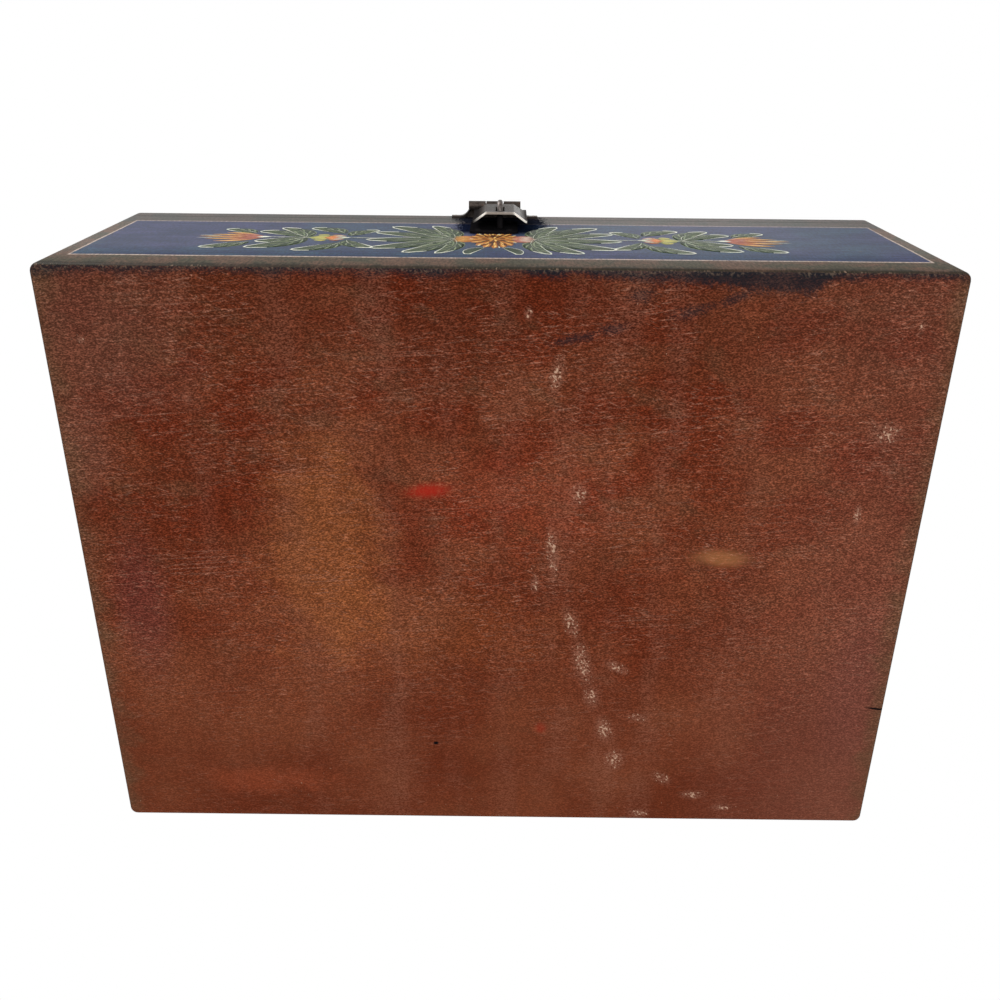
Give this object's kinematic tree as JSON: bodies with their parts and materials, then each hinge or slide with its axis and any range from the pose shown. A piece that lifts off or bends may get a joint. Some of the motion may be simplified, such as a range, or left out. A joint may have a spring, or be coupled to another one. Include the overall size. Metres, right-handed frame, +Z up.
{
  "type": "hinged wooden attachment box",
  "caption": "Hand-painted wooden box with a flat hinged lid and a front hasp, for keeping sewing machine attachments.",
  "frame": {"origin": "middle of the flat underside, on the surface the box stands on", "axes": "+X along the front to the right as seen from the front, +Y from the front wall with the hasp to the back wall with the hinges, +Z up through the lid"},
  "size_m": [0.305, 0.2441, 0.104],
  "materials": {
    "underside_wood": "worn matt red-brown paint over wood",
    "painted_wood": "hand-painted dark blue with an olive margin, a pale line and a floral spray, under old varnish",
    "brad_steel": "plain steel, filled and painted over",
    "fitting_metal": "stamped sheet, dull antique plating with rubbed edges",
    "pin_steel": "drawn wire, dull",
    "tack_steel": "tarnished steel"
  },
  "bodies": {
    "base": {"bottom_board": "underside_wood", "front_wall": "painted_wood", "back_wall": "painted_wood", "left_wall": "painted_wood", "right_wall": "painted_wood", "corner_brads": "brad_steel", "left_hinge_base_leaf": "fitting_metal", "left_hinge_pin": "pin_steel", "right_hinge_base_leaf": "fitting_metal", "right_hinge_pin": "pin_steel", "hinge_base_tacks": "tack_steel", "staple": "pin_steel", "staple_plate": "fitting_metal", "staple_plate_tacks": "tack_steel"},
    "lid": {"lid_board": "painted_wood", "hinge_lid_tacks": "tack_steel", "hasp_lid_plate": "fitting_metal", "hasp_plate_tacks": "tack_steel", "hasp_pin": "pin_steel", "left_hinge_lid_leaf": "fitting_metal", "right_hinge_lid_leaf": "fitting_metal"},
    "hasp": {"hasp_leaf": "fitting_metal"}
  },
  "joints": [
    {"name": "lid_hinge", "type": "hinge", "parent": "base", "child": "lid", "pos_m": [0, 0.1168, 0.09415], "axis": [-1, 0, 0], "range_deg": [0, 180]},
    {"name": "hasp_pivot", "type": "hinge", "parent": "lid", "child": "hasp", "pos_m": [-0.0028, -0.1198, 0.09415], "axis": [-1, 0, 0], "range_deg": [0, 180]}
  ]
}
